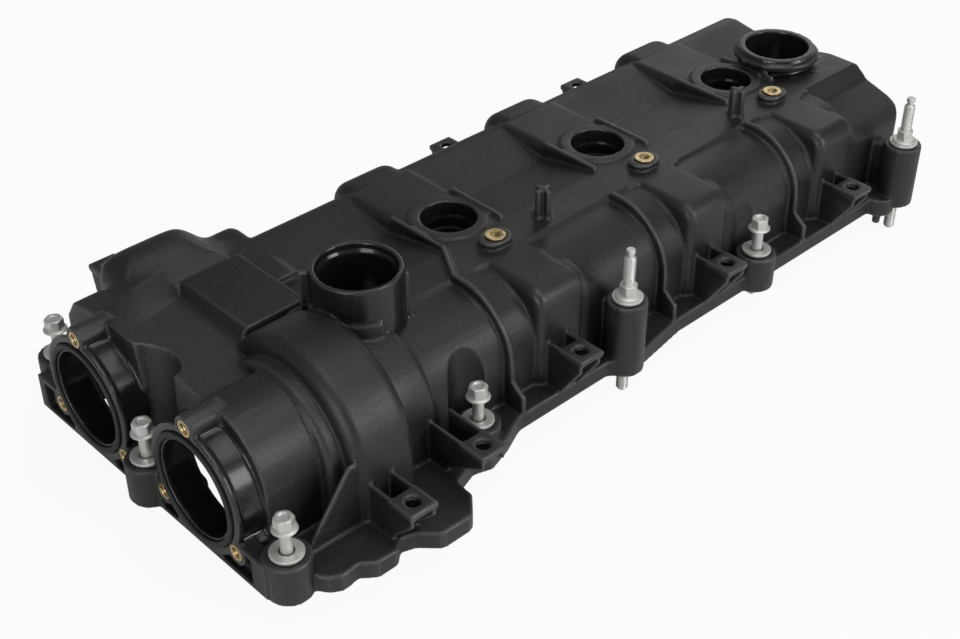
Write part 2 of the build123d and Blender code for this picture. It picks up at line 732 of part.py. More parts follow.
def cap_port():
    """The oil cap port at the back, in two tiers."""
    x, y = CAP
    return [
        rod(x, y, CAP_FOOT_Z, CAP_Z - 1, CAP_TUBE_R),
        rod(x, y, *CAP_FLANGE_Z, CAP_FLANGE_R),
        rod(x, y, CAP_FLANGE_Z[1] - 0.5, CAP_Z, CAP_TOP_R),
        rod(x - CAP_FLANGE_R + 1.2, y + 4, *CAP_FLANGE_Z, CAP_LUG_R),
    ]


def cap_cuts():
    """The bore of the oil cap port."""
    x, y = CAP
    return [rod(x, y, CAP_FOOT_Z - 20, CAP_Z + 1, CAP_BORE_R)]


def post(x):
    """One upright post with a cross section."""
    half = POST_SPAN / 2
    thin = POST_T / 2
    z0 = DECK_Z - WALL / 2
    return [
        box(x - half, x + half, POST_Y - thin, POST_Y + thin, z0, POST_Z),
        box(x - thin, x + thin, POST_Y - half, POST_Y + half, z0, POST_Z),
    ]


def edge_ribs(x):
    """The low ribs along both edges of a plug platform."""
    ribs = []
    for rx in (x - PLATFORM_FRONT + EDGE_RIB_T / 2, x + PLATFORM_BACK - EDGE_RIB_T / 2):
        ribs.append(
            box(
                rx - EDGE_RIB_T / 2,
                rx + EDGE_RIB_T / 2,
                -EDGE_RIB_HALF,
                EDGE_RIB_HALF,
                DECK_Z - WALL / 2,
                EDGE_RIB_Z,
            )
        )
    return ribs


def blade(x):
    """The tall thin rib that hugs the near tunnel ahead of one well."""
    r = BLADE_R
    near = NEAR_Y - r
    corners = (
        (FLANGE_NEAR_Y + 0.5, FLANGE_T - 2),
        (FLANGE_NEAR_Y + 0.5, BLADE_FOOT_Z),
        (near, BLADE_FOOT_Z + 6),
        (near, AXIS_Z + r),
        (STRIP_NEAR_Y - 1, AXIS_Z + r),
        (STRIP_NEAR_Y - 1, DECK_Z - WALL / 2),
        (NEAR_Y, AXIS_Z + TUNNEL_R - WALL / 2),
        (NEAR_Y - TUNNEL_R + WALL / 2, AXIS_Z),
        (NEAR_Y - TUNNEL_R + WALL / 2, FLANGE_T - 2),
    )
    radii = [0, 0, 0, r * 0.98, 0, 0, 0, TUNNEL_R * 0.5, 0]
    return along_x(outline(corners, radii), x - BLADE_T / 2, x + BLADE_T / 2)


def first_blade_lead():
    """The short slanting rib that joins the first platform's edge rib to the first blade."""
    start = (-PLATFORM_FRONT + EDGE_RIB_T / 2, -EDGE_RIB_HALF)
    end = (BLADE_X, STRIP_NEAR_Y - 1)
    run = math.hypot(end[0] - start[0], end[1] - start[1])
    turn = math.degrees(math.atan2(end[1] - start[1], end[0] - start[0]))
    place = Pos(start[0], start[1], 0) * Rot(0, 0, turn)
    return place * box(-0.5, run + 0.8, -EDGE_RIB_T / 2, EDGE_RIB_T / 2, DECK_Z - WALL / 2, EDGE_RIB_Z + 0.6)


def clip(x, y, z, wall_y):
    """A harness clip bracket: a square plate with a hole, on two deep arms."""
    half = CLIP_PLATE / 2
    side = math.copysign(1, y)
    outer = y + side * half
    edge = FLANGE_NEAR_Y if side < 0 else FLANGE_FAR_Y
    edge = edge if abs(edge) > abs(wall_y) + 6 else wall_y + side * 14
    pieces = [box(x - half, x + half, y - half, y + half, z - CLIP_T, z)]
    arm = outline(
        (
            (wall_y, FLANGE_T - 1),
            (wall_y, z),
            (y, z),
            (outer - side * 1.0, z - CLIP_T + 0.5),
            (outer - side * 1.0, z - CLIP_T - 4),
            (edge, FLANGE_T - 1),
        )
    )
    for ax in (x - half + CLIP_ARM_T / 2 + 0.6, x + half - CLIP_ARM_T / 2 - 0.6):
        pieces.append(along_x(arm, ax - CLIP_ARM_T / 2, ax + CLIP_ARM_T / 2))
    return pieces


def gusset():
    """The upright triangular web beside the near front bolt."""
    foot = FLANGE_T - 1
    back = DOME_X[0] + 1
    face = outline(((GUSSET_X[0], foot), (GUSSET_X[1], GUSSET_Z), (back, GUSSET_Z), (back, foot)))
    return along_y(face, *GUSSET_Y)


def bolt_boss(x, y, top):
    """The round boss of one captive bolt."""
    return rod(x, y, 0, top, BOLT_BOSS_R)


def stud_boss(x, y, foot):
    """The tall boss of one stud, with a web to the near wall."""
    half = STUD_WEB_HALF
    web = box(x - half, x + half, y, NEAR_Y - TUNNEL_R + WALL / 2, foot, STUD_BOSS_Z - 4)
    return [rod(x, y, foot, STUD_BOSS_Z, STUD_BOSS_R), web]


def lobe():
    """The flange lobe beside the back stud, with its short locating peg."""
    return [rod(*LOBE, 0, LOBE_Z, LOBE_R), rod(*PEG, PEG_Z, FLANGE_T, PEG_R)]


def baffle_posts():
    """Positions of the posts that carry the baffle, with the top of each."""
    places = []
    for x in (WELL_X[0] - BAFFLE_POST_DX, (WELL_X[0] + WELL_X[1]) / 2, (WELL_X[1] + WELL_X[2]) / 2):
        for y, top in zip(BAFFLE_POST_Y, BAFFLE_POST_Z):
            places.append((x, y, top))
    return places


def bolt_holes():
    """The grommet holes of all the bosses, with room above for the washers."""
    holes = []
    room = WASHER_R + WASHER_CLEARANCE
    for x, y, top in BOLTS.values():
        holes.append(rod(x, y, -1, top + 1, GROMMET_R + FIT))
        holes.append(rod(x, y, top, top + BOLT_LIFT, room))
    for x, y, _ in STUDS.values():
        holes.append(rod(x, y, -1, STUD_BOSS_Z + 1, GROMMET_R + FIT))
    return holes


def below_seat():
    """Everything below the gasket plane."""
    return box(-REACH, REACH, -REACH, REACH, -REACH, 0)


def cover():
    """The moulded cover."""
    outside = casing(0.0) - below_seat()
    inside = casing(WALL)
    added = flange() + lobe() + port(NEAR_Y) + port(FAR_Y)
    for x in WELL_X:
        added += coil_pad(x)
        added += edge_ribs(x)
        added.append(blade(x + BLADE_X))
    added.append(first_blade_lead())
    for x in POST_X:
        added += post(x)
    for values in CLIPS + FAR_CLIPS:
        added += clip(*values)
    added.append(gusset())
    for values in BOLTS.values():
        added.append(bolt_boss(*values))
    for values in STUDS.values():
        added += stud_boss(*values)
    body = outside.fuse(*added)
    body -= [inside - box(-REACH, REACH, -REACH, REACH, -REACH, FLANGE_T), inside & mouth()]

    inner = neck() + neck_ribs() + cap_port()
    for x in WELL_X:
        inner += well(x)
    for x, y, top in baffle_posts():
        inner.append(rod(x, y, BAFFLE_Z + BAFFLE_T, top, BAFFLE_POST_R))
    cuts = neck_cuts() + cap_cuts() + bolt_holes() + port_cuts(NEAR_Y) + port_cuts(FAR_Y)
    for x in WELL_X:
        cuts += well_cuts(x)
        foot = COIL_PAD_Z - INSERT_L - INSERT_RUNOUT
        cuts.append(rod(x + COIL_PAD_DX, COIL_PAD_Y, foot, COIL_PAD_Z + 1, INSERT_R + FIT))
    for x, y, _ in baffle_posts():
        cuts.append(rod(x, y, BAFFLE_Z, BAFFLE_Z + 8, BAFFLE_SCREW_R))
    for x, y, top, _ in CLIPS + FAR_CLIPS:
        cuts.append(rod(x, y, top - 2 * CLIP_T, top + 1, CLIP_HOLE_R))
    cuts.append(seal_band(GROOVE_W, -1, GROOVE_D))
    return body.fuse(*inner) - cuts


def mouth():
    """The opening in the underside, inside the gasket."""
    path = outline(seal_points(), SEAL_CORNER_R)
    inner = offset(path, -CAVITY_MARGIN)
    return extrude(Plane.XY.offset(-1) * inner, amount=FLANGE_T + 1)


def gasket():
    """The rubber bead in the flange groove."""
    return seal_band(GROOVE_W - 2 * GASKET_GAP, -GASKET_PROUD, GROOVE_D - GASKET_GAP)


def port_seal(y):
    """The rubber ring in one front port."""
    front = PORT_FACE_X - PORT_SEAL_PROUD
    back = PORT_FACE_X + PORT_SEAL_D
    ring = rod_x(y, AXIS_Z, front, back, PORT_SEAL_IN_R + PORT_SEAL_W)
    ring -= rod_x(y, AXIS_Z, front - 1, back + 1, PORT_SEAL_IN_R)
    rims = [e for e in ring.edges() if e.geom_type == GeomType.CIRCLE and e.center().X < front + 0.01]
    return fillet(rims, PORT_SEAL_SOFT_R)


def coil_insert():
    """A brass insert standing on Z, with its collar at the top."""
    body = rod(0, 0, -INSERT_L, 0, INSERT_R)
    collar = rod(0, 0, 0, INSERT_COLLAR_T, INSERT_COLLAR_R)
    return body + collar - rod(0, 0, -INSERT_L - 1, INSERT_COLLAR_T + 1, INSERT_HOLE_R)


def port_insert():
    """A plain brass insert lying on X, flush with the port's face."""
    body = rod_x(0, 0, 0, INSERT_L, PORT_INSERT_R)
    return body - rod_x(0, 0, -1, INSERT_L + 1, INSERT_HOLE_R)


def well_seal(x):
    """The rubber ring at the foot of one plug well."""
    z0 = WELL_SEAL_Z
    return tube(x, 0, z0 + WELL_RING_T + FIT, z0 + WELL_SEAL_T - FIT, WELL_R - FIT, WELL_SEAL_IN_R)


def well_ring(x):
    """The steel ring below the rubber ring."""
    return tube(x, 0, WELL_SEAL_Z, WELL_SEAL_Z + WELL_RING_T, WELL_R - FIT, WELL_RING_IN_R)


def hex_head(z):
    """A hexagonal head whose foot is at z."""
    across_corners = HEX_ACROSS / math.cos(math.radians(30))
    head = extrude(Plane.XY.offset(z) * RegularPolygon(across_corners / 2, 6), amount=HEX_H)
    cap = rod(0, 0, z, z + HEX_H, across_corners / 2 - 0.1)
    return head & fillet(cap.edges().sort_by(Axis.Z)[-1], 0.8)


def bolt(x, y, top):
    """One captive bolt, standing up in its sleeve."""
    seat = sleeve_top(top) + BOLT_LIFT
    tip = seat - BOLT_L
    thread = rod(0, 0, tip, tip + BOLT_THREAD_L, BOLT_R)
    thread = chamfer(thread.edges().sort_by(Axis.Z)[0], BOLT_POINT)
    shank = rod(0, 0, tip + BOLT_THREAD_L, seat + 1, BOLT_SHANK_R)
    rim = rod(0, 0, seat, seat + BOLT_FLANGE_T, BOLT_FLANGE_R)
    rim = fillet(rim.edges().sort_by(Axis.Z)[-1], 0.5)
    head = hex_head(seat + BOLT_FLANGE_T)
    dish = rod(0, 0, seat + BOLT_FLANGE_T + HEX_H - BOLT_DISH_D, seat + 20, BOLT_DISH_R)
    return Pos(x, y, 0) * (thread + shank + rim + head - dish)


def sleeve_top(top):
    """The height of the face that a bolt or stud clamps, over a boss of the given height."""
    return top + GROMMET_RISE + WASHER_T


def sleeve(x, y, top, foot=0.0):
    """A steel limiter with its washer flange."""
    z1 = sleeve_top(top)
    body = rod(x, y, foot + SLEEVE_RISE, z1, SLEEVE_R) + rod(x, y, z1 - WASHER_T, z1, WASHER_R)
    return body - rod(x, y, -1, z1 + 1, SLEEVE_BORE_R)


def grommet(x, y, top, foot=0.0):
    """The rubber ring between a sleeve and its boss."""
    return tube(x, y, foot + 2 * SLEEVE_RISE, top + GROMMET_RISE - FIT, GROMMET_R, SLEEVE_R + FIT)


def stud(x, y):
    """One double ended stud with its hex and flange, seated on its sleeve."""
    seat = sleeve_top(STUD_BOSS_Z)
    lower = rod(0, 0, STUD_TIP_Z, STUD_THREAD_Z, BOLT_R)
    lower = chamfer(lower.edges().sort_by(Axis.Z)[0], BOLT_POINT)
    shank = rod(0, 0, STUD_THREAD_Z, seat + 1, BOLT_SHANK_R)
    upper = rod(0, 0, seat + 1, STUD_TOP_Z - STUD_POINT_L, BOLT_R)
    point = rod(0, 0, STUD_TOP_Z - STUD_POINT_L - 1, STUD_TOP_Z, STUD_POINT_R)
    rim = rod(0, 0, seat, seat + STUD_FLANGE_T, STUD_FLANGE_R)
    rim = fillet(rim.edges().sort_by(Axis.Z)[-1], 0.5)
    return Pos(x, y, 0) * (lower + shank + upper + point + rim + hex_head(seat + STUD_FLANGE_T))


def baffle():
    """The flat oil baffle, with clearance round each plug well."""
    z0 = BAFFLE_Z
    plate = box(*BAFFLE_X, *BAFFLE_Y, z0, z0 + BAFFLE_T)
    plate = fillet(plate.edges().filter_by(Axis.Z), 6.0)
    holes = [rod(x, 0, z0 - 1, z0 + BAFFLE_T + 1, BAFFLE_HOLE_R) for x in WELL_X]
    holes += [rod(x, y, z0 - 1, z0 + BAFFLE_T + 1, BAFFLE_SCREW_R + 0.2) for x, y, _ in baffle_posts()]
    return plate - holes


def baffle_screw(x, y):
    """One small pan head screw that holds the baffle up."""
    z0 = BAFFLE_Z
    return rod(x, y, z0 - 1.8, z0, 3.0) + rod(x, y, z0 - 0.5, z0 + 7.0, BAFFLE_SCREW_R - FIT)


def base_centre():
    """The last move, which brings the origin from the first well to the middle of the base."""
    front = BOLTS["front_middle"][0] - BOLT_BOSS_R
    near = CLIPS[0][1] - CLIP_PLATE / 2
    far = FAR_CLIPS[0][1] + CLIP_PLATE / 2
    return Pos(-(front + FLANGE_BACK_X) / 2, -(near + far) / 2, -STUD_TIP_Z)


def main():
    os.makedirs("parts", exist_ok=True)
    nodes = {"cover": cover(), "gasket": gasket(), "baffle": baffle()}
    nodes["baffle_screws"] = Compound([baffle_screw(x, y) for x, y, _ in baffle_posts()])
    nodes["near_port_seal"] = port_seal(NEAR_Y)
    nodes["far_port_seal"] = port_seal(FAR_Y)
    lugs = port_lugs(NEAR_Y) + port_lugs(FAR_Y)
    nodes["port_inserts"] = Compound([Pos(PORT_FACE_X, y, z) * port_insert() for y, z in lugs])
    nodes["coil_inserts"] = Compound(
        [Pos(x + COIL_PAD_DX, COIL_PAD_Y, COIL_PAD_Z) * coil_insert() for x in WELL_X]
    )
    for number, x in enumerate(WELL_X, start=1):
        nodes[f"well_seal_{number}"] = well_seal(x)
        nodes[f"well_ring_{number}"] = well_ring(x)
    for name, values in BOLTS.items():
        nodes[f"{name}_bolt"] = bolt(*values)
        nodes[f"{name}_bolt_sleeve"] = sleeve(*values)
        nodes[f"{name}_bolt_grommet"] = grommet(*values)
    for name, (x, y, foot) in STUDS.items():
        nodes[f"{name}_stud"] = stud(x, y)
        nodes[f"{name}_stud_sleeve"] = sleeve(x, y, STUD_BOSS_Z, foot)
        nodes[f"{name}_stud_grommet"] = grommet(x, y, STUD_BOSS_Z, foot)
    place = base_centre()
    for name, shape in nodes.items():
        export_step(place * shape, f"parts/{name}.step")


main()
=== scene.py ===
"""Looks for an engine valve cover: a moulded nylon casing with its seals, inserts and captive fasteners."""

import json
import logging
import math
from dataclasses import dataclass, field
from enum import Enum

import bmesh
import bpy
import numpy as np
from mathutils import Matrix, Vector

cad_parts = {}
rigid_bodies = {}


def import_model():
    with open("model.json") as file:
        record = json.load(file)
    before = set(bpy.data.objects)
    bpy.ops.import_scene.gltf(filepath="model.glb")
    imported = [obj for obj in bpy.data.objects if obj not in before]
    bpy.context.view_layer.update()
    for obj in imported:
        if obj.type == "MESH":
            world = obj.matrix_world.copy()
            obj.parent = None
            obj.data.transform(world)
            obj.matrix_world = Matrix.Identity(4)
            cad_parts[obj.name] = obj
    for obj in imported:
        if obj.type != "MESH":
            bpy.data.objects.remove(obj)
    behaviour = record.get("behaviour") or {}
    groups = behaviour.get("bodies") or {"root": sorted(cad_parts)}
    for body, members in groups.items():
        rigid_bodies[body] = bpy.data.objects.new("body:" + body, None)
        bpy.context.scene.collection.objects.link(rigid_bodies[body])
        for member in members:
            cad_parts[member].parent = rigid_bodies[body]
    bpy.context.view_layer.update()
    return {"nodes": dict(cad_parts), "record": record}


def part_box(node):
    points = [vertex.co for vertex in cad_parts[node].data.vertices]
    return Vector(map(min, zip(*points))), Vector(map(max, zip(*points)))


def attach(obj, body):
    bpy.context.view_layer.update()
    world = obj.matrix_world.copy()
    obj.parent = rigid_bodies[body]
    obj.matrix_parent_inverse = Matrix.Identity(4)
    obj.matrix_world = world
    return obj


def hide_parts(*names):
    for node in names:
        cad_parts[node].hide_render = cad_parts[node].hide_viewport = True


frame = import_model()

LOG = logging.getLogger("valve_cover")
MM = 0.001
MERGE_MM = 0.001  # points of the CAD's loose triangles that lie closer are one
# From the first plug well's axis on the gasket plane, where the sizes below are taken, to the frame's origin.
SHIFT = Vector((-50.25, 10.4, 14.0))


def at(x: float, y: float, z: float) -> Vector:
    """A place given in millimetres from the first plug well, as metres in the frame.

    Args:
        x: along the cam shafts, to the back.
        y: across, positive away from the studs.
        z: height above the gasket plane.

    Returns:
        The same place in the frame.
    """
    return (Vector((x, y, z)) + SHIFT) * MM


def linear(hex_colour: str) -> tuple[float, float, float, float]:
    """An sRGB hex colour as the linear colour that a shader takes.

    Args:
        hex_colour: six hex digits after a hash sign.

    Returns:
        Linear red, green and blue, and an alpha of 1.
    """
    parts = [int(hex_colour[i : i + 2], 16) / 255 for i in (1, 3, 5)]
    return tuple(c / 12.92 if c <= 0.04045 else ((c + 0.055) / 1.055) ** 2.4 for c in parts) + (1.0,)


def add_node(
    tree: bpy.types.NodeTree,
    kind: str,
    inputs: dict[str | int, object] | None = None,
    **settings: object,
) -> bpy.types.Node:
    """Adds a node with its settings, values and links.

    Args:
        tree: the tree that the node goes into.
        kind: the node's type.
        inputs: for each input, a value to set or an output socket to link.
        settings: properties of the node itself.

    Returns:
        The new node.
    """
    node = tree.nodes.new(kind)
    for key, value in settings.items():
        setattr(node, key, value)
    for key, value in (inputs or {}).items():
        if isinstance(value, bpy.types.NodeSocket):
            tree.links.new(value, node.inputs[key])
        else:
            node.inputs[key].default_value = value
    return node


class Run(Enum):
    """The axis that a round form runs along, as its place in a coordinate."""

    ALONG_CAMS = 0
    UPRIGHT = 2


CLOUD_DETAIL = 3.0
GRAIN_DETAIL = 2.0
SPECK_DETAIL = 1.0
CLOUD_RANGE = (0.3, 0.7)  # the values of a noise that its clouds spread over
SPECK_RANGE = (0.66, 0.78)  # only the highest values of a noise make a speck
SPECK_MM = 0.55  # a fibre's end is finer, and would not show in the render
DUST_COLOUR = "#8a8a87"
# Painted highlight: the pale colour laid on the outer edges, where the lamps catch the fillets.
EDGE_HIGHLIGHT_COLOUR = "#4b4b4c"
EDGE_POLISH = 0.15  # how much less rough an edge is where its polish and painted highlight are full
EDGE_ATTRIBUTE = "edge"


@dataclass(frozen=True)
class Finish:
    """A finish, with its grain, its cloudiness and its dust at their own sizes, and a polish and a painted
    highlight on its outer edges.
    """

    name: str
    colour: str
    shade: str
    roughness: float
    metallic: float = 0.0
    ior: float | None = None
    grain_mm: float = 0.7
    grain_depth_mm: float = 0.02
    cloud_mm: float = 30.0
    cloud_roughness: float = 0.06
    dust: float = 0.0
    # how strongly the outer edges are polished and get a painted highlight
    edge_highlight_and_polish: float = 0.0

    def build(self) -> bpy.types.Material:
        """Makes the material.

        Returns:
            A material whose patterns are worked out from real sizes.
        """
        material = bpy.data.materials.new(self.name)
        material.use_nodes = True
        tree = material.node_tree
        tree.nodes.clear()
        place = add_node(tree, "ShaderNodeTexCoord").outputs["Object"]
        cloud, grain = (
            add_node(
                tree, "ShaderNodeTexNoise", {"Vector": place, "Scale": 1.0 / (size * MM), "Detail": detail}
            )
            for size, detail in ((self.cloud_mm, CLOUD_DETAIL), (self.grain_mm, GRAIN_DETAIL))
        )
        colour = add_node(
            tree,
            "ShaderNodeMix",
            {0: cloud.outputs[0], 6: linear(self.colour), 7: linear(self.shade)},
            data_type="RGBA",
        ).outputs[2]
        rough = add_node(
            tree,
            "ShaderNodeMapRange",
            {
                "Value": cloud.outputs[0],
                "From Min": CLOUD_RANGE[0],
                "From Max": CLOUD_RANGE[1],
                "To Min": self.roughness - self.cloud_roughness,
                "To Max": self.roughness + self.cloud_roughness,
            },
        ).outputs[0]
        if self.dust:
            colour = self._dusted(tree, place, colour)
        # Painted highlight along the outer edges, with a polish in the roughness.
        if self.edge_highlight_and_polish:
            colour, rough = self._polished_and_highlighted_edges(tree, colour, rough)
        bump = add_node(
            tree,
            "ShaderNodeBump",
            {"Height": grain.outputs[0], "Distance": self.grain_depth_mm * MM, "Strength": 1.0},
        )
        shader = add_node(
            tree,
            "ShaderNodeBsdfPrincipled",
            {"Base Color": colour, "Roughness": rough, "Metallic": self.metallic, "Normal": bump.outputs[0]},
        )
        if self.ior:
            shader.inputs["IOR"].default_value = self.ior
        add_node(tree, "ShaderNodeOutputMaterial", {"Surface": shader.outputs[0]})
        return material

    def _dusted(
        self, tree: bpy.types.NodeTree, place: bpy.types.NodeSocket, colour: bpy.types.NodeSocket
    ) -> bpy.types.NodeSocket:
        """Adds the fine pale specks that fibre filled nylon shows.

        Args:
            tree: the material's tree.
            place: the coordinates.
            colour: the colour so far.

        Returns:
            The new colour.
        """
        noise = add_node(
            tree,
            "ShaderNodeTexNoise",
            {"Vector": place, "Scale": 1.0 / (SPECK_MM * MM), "Detail": SPECK_DETAIL},
        )
        specks = add_node(
            tree,
            "ShaderNodeMapRange",
            {
                "Value": noise.outputs[0],
                "From Min": SPECK_RANGE[0],
                "From Max": SPECK_RANGE[1],
                "To Min": 0.0,
                "To Max": self.dust,
            },
        )
        return add_node(
            tree,
            "ShaderNodeMix",
            {0: specks.outputs[0], 6: colour, 7: linear(DUST_COLOUR)},
            data_type="RGBA",
        ).outputs[2]

    def _polished_and_highlighted_edges(
        self, tree: bpy.types.NodeTree, colour: bpy.types.NodeSocket, rough: bpy.types.NodeSocket
    ) -> tuple[bpy.types.NodeSocket, bpy.types.NodeSocket]:
        """Polishes the outer edges and paints a highlight on them, by the mesh's own edge attribute.

        Args:
            tree: the material's tree.
            colour: the colour so far.
            rough: the roughness so far.

        Returns:
            The new colour and roughness.
        """
        edge = add_node(tree, "ShaderNodeAttribute", attribute_name=EDGE_ATTRIBUTE).outputs["Fac"]
        amount = add_node(
            tree,
            "ShaderNodeMapRange",
            {"Value": edge, "From Min": 0.0, "From Max": 1.0, "To Min": 0.0, "To Max": self.edge_highlight_and_polish},
        ).outputs[0]
        # Painted highlight: the edge colour is paled towards a light grey.
        highlighted = add_node(
            tree,
            "ShaderNodeMix",
            {0: amount, 6: colour, 7: linear(EDGE_HIGHLIGHT_COLOUR)},
            data_type="RGBA",
        ).outputs[2]
        less = add_node(tree, "ShaderNodeMath", {0: amount, 1: EDGE_POLISH}, operation="MULTIPLY").outputs[0]
        smoother = add_node(tree, "ShaderNodeMath", {0: rough, 1: less}, operation="SUBTRACT").outputs[0]
        return highlighted, smoother


# Glass filled nylon from a spark eroded mould: a dull, finely grained black that greys under soft light.
GRAINED_NYLON = Finish(
    "grained_glass_filled_nylon", "#141415", "#1c1c1d", 0.44, ior=1.53, grain_mm=0.8, grain_depth_mm=0.13,
    cloud_roughness=0.05, dust=0.3, edge_highlight_and_polish=0.9,
)
# The same nylon where the mould was polished: the ports, necks and bosses shine in narrow streaks.
POLISHED_NYLON = Finish(
    "polished_glass_filled_nylon", "#131314", "#18181a", 0.24, ior=1.53, grain_mm=1.6, grain_depth_mm=0.012,
    cloud_roughness=0.05, dust=0.1, edge_highlight_and_polish=0.5,
)
# Moulded nitrile rubber: blacker than the nylon, soft and slightly oily.
NITRILE_RUBBER = Finish(
    "moulded_nitrile_rubber", "#0e0e0f", "#141415", 0.52, ior=1.52, grain_mm=1.0, grain_depth_mm=0.02,
    cloud_mm=8.0,
)
# Turned brass: warm, bright, with faint tarnish.
TURNED_BRASS = Finish(
    "turned_brass", "#e4d2aa", "#c6aa74", 0.3, metallic=1.0, grain_mm=0.5, grain_depth_mm=0.006, cloud_mm=4.0,
)
# Zinc flake on steel: a pale, even grey with almost no mirror.
ZINC_FLAKE_STEEL = Finish(
    "zinc_flake_coated_steel", "#e6e6e3", "#cfcfcb", 0.46, metallic=0.75, grain_mm=0.6, grain_depth_mm=0.015,
    cloud_mm=5.0, cloud_roughness=0.08,
)
# Pressed steel washers under the same coating, flatter and paler.
COATED_WASHER = Finish(
    "coated_pressed_steel", "#ecece8", "#d8d8d4", 0.44, metallic=0.7, grain_mm=0.9, grain_depth_mm=0.01,
    cloud_mm=6.0, cloud_roughness=0.08,
)


def new_piece(name: str, mesh: bpy.types.Mesh) -> bpy.types.Object:
    """Puts a mesh in the scene as an object at the origin.

    Args:
        name: the piece's name.
        mesh: its mesh, already in place.

    Returns:
        The object.
    """
    mesh.name = name
    piece = bpy.data.objects.new(name, mesh)
    bpy.context.scene.collection.objects.link(piece)
    return piece


def evaluated_mesh(piece: bpy.types.Object) -> bpy.types.Mesh:
    """The mesh that a piece's modifiers make.

    Args:
        piece: the piece, which stays as it is.

    Returns:
        A mesh of its own.
    """
    graph = bpy.context.evaluated_depsgraph_get()
    return bpy.data.meshes.new_from_object(piece.evaluated_get(graph))


def bake_modifiers(piece: bpy.types.Object) -> None:
    """Turns a piece's modifiers into its mesh.

    Args:
        piece: the piece, whose modifiers are removed.
    """
    mesh = evaluated_mesh(piece)
    piece.modifiers.clear()
    piece.data = mesh


def shade(piece: bpy.types.Object, sharp_deg: float) -> None:
    """Shades a piece smooth, apart from edges sharper than an angle.

    Args:
        piece: the piece.
        sharp_deg: the angle in degrees.
    """
    piece.data.shade_smooth()
    piece.data.set_sharp_from_angle(angle=math.radians(sharp_deg))


def merged_copy(node: str) -> bpy.types.Object:
    """A copy of a CAD node whose loose triangles are joined.

    Args:
        node: the node's name.

    Returns:
        The copy, as an object of its own.
    """
    mesh = frame["nodes"][node].data.copy()
    mesh.materials.clear()
    shape = bmesh.new()
    shape.from_mesh(mesh)
    bmesh.ops.remove_doubles(shape, verts=shape.verts, dist=MERGE_MM * MM)
    shape.to_mesh(mesh)
    shape.free()
    return new_piece(f"{node}_dressed", mesh)


def dress(mesh: bpy.types.Mesh, *materials: bpy.types.Material) -> None:
    """Gives a mesh materials in place of those that it has.

    Args:
        mesh: the mesh.
        materials: the new ones, in the order of its slots.
    """
    mesh.materials.clear()
    for material in materials:
        mesh.materials.append(material)


def vectors(items: bpy.types.bpy_prop_collection, name: str) -> np.ndarray:
    """One vector of each vertex or face of a mesh.

    Args:
        items: the vertices or faces.
        name: which of their vectors.

    Returns:
        The vectors, one a row.
    """
    values = np.empty(len(items) * 3)
    items.foreach_get(name, values)
    return values.reshape(-1, 3)


def from_first_well(points: np.ndarray) -> np.ndarray:
    """Places in the frame as millimetres from the first plug well.

    Args:
        points: places in metres, one a row.

    Returns:
        The same places, as the function at() takes them.
    """
    return points / MM - np.array(SHIFT)


def settle(piece: bpy.types.Object, body: str, slot: str, *nodes: str) -> None:
    """Attaches a finished piece to the body that it moves with, and hides the CAD nodes that it stands for.

    Args:
        piece: the piece.
        body: the body that it moves with.
        slot: the record's material slot; not used.
        nodes: the CAD nodes that it stands for.
    """
    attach(piece, body)
    if nodes:
        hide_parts(*nodes)
    LOG.info("%s rides on %s, %d faces", piece.name, body, len(piece.data.polygons))


@dataclass(frozen=True)
class PolishedZone:
    """A round stretch of the cover whose mould was polished, in millimetres from the first well."""

    run: Run
    centre: tuple[float, float]
    radii: tuple[float, float]
    along: tuple[float, float]

    def holds(self, points: np.ndarray) -> np.ndarray:
        """Which points lie in the zone.

        Args:
            points: places in millimetres from the first well, one a row.

        Returns:
            True for each point inside.
        """
        run = self.run.value
        across = [i for i in range(3) if i != run]
        reach = np.hypot(points[:, across[0]] - self.centre[0], points[:, across[1]] - self.centre[1])
        inside = (points[:, run] > self.along[0]) & (points[:, run] < self.along[1])
        return inside & (reach > self.radii[0]) & (reach < self.radii[1])


@dataclass(frozen=True)
class SoftZone:
    """A box of the cover with fuller radii, in millimetres from the first well, and how far it fades out."""

    low: tuple[float, float, float]
    high: tuple[float, float, float]
    fade: float

    def weights(self, points: np.ndarray) -> np.ndarray:
        """How strongly each point is softened.

        Args:
            points: places in millimetres from the first well, one a row.

        Returns:
            1 inside, falling to 0 over the fade.
        """
        depth = np.minimum(points - np.array(self.low), np.array(self.high) - points).min(axis=1)
        return (depth / self.fade).clip(0.0, 1.0)


